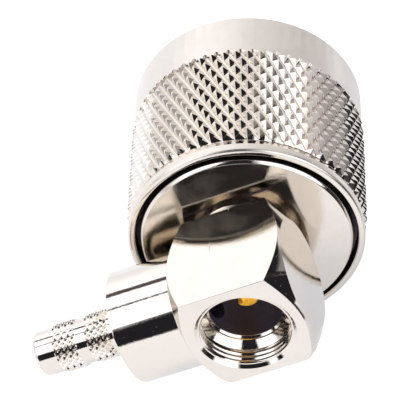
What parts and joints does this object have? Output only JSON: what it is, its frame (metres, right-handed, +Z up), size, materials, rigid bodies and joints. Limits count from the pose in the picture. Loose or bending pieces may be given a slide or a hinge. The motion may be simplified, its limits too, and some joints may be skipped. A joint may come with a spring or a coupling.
{
  "type": "n type connector",
  "caption": "Right-angle coaxial plug with a knurled screw coupling nut, square body, open access hole and hollow knurled crimp post, in polished nickel plate.",
  "frame": {"origin": "on the coupling nut's axis at the mating plane, the front edge of the outer contact", "axes": "+Y is the way the plug mates, +Z is up as it lies, and the crimp post runs towards -X and down to the table"},
  "size_m": [0.0284, 0.0291, 0.0208],
  "materials": {
    "nickel_nut": "polished",
    "nickel_body": "polished",
    "nickel_contact": "satin",
    "spring_bronze": "satin",
    "gold_plate": "polished",
    "white_plastic": "satin",
    "silicone": "matte"
  },
  "bodies": {
    "plug_body": {"front_shell": "nickel_body", "outer_contact": "nickel_contact", "insulator": "white_plastic", "centre_contact": "gold_plate", "gasket": "silicone", "right_angle_body": "nickel_body"},
    "nut": {"coupling_nut": "nickel_nut", "retaining_ring": "spring_bronze"}
  },
  "joints": [
    {"name": "nut_spin", "type": "hinge", "parent": "plug_body", "child": "nut", "pos_m": [0, -0.008, 0], "axis": [0, 1, 0], "continuous": true}
  ]
}
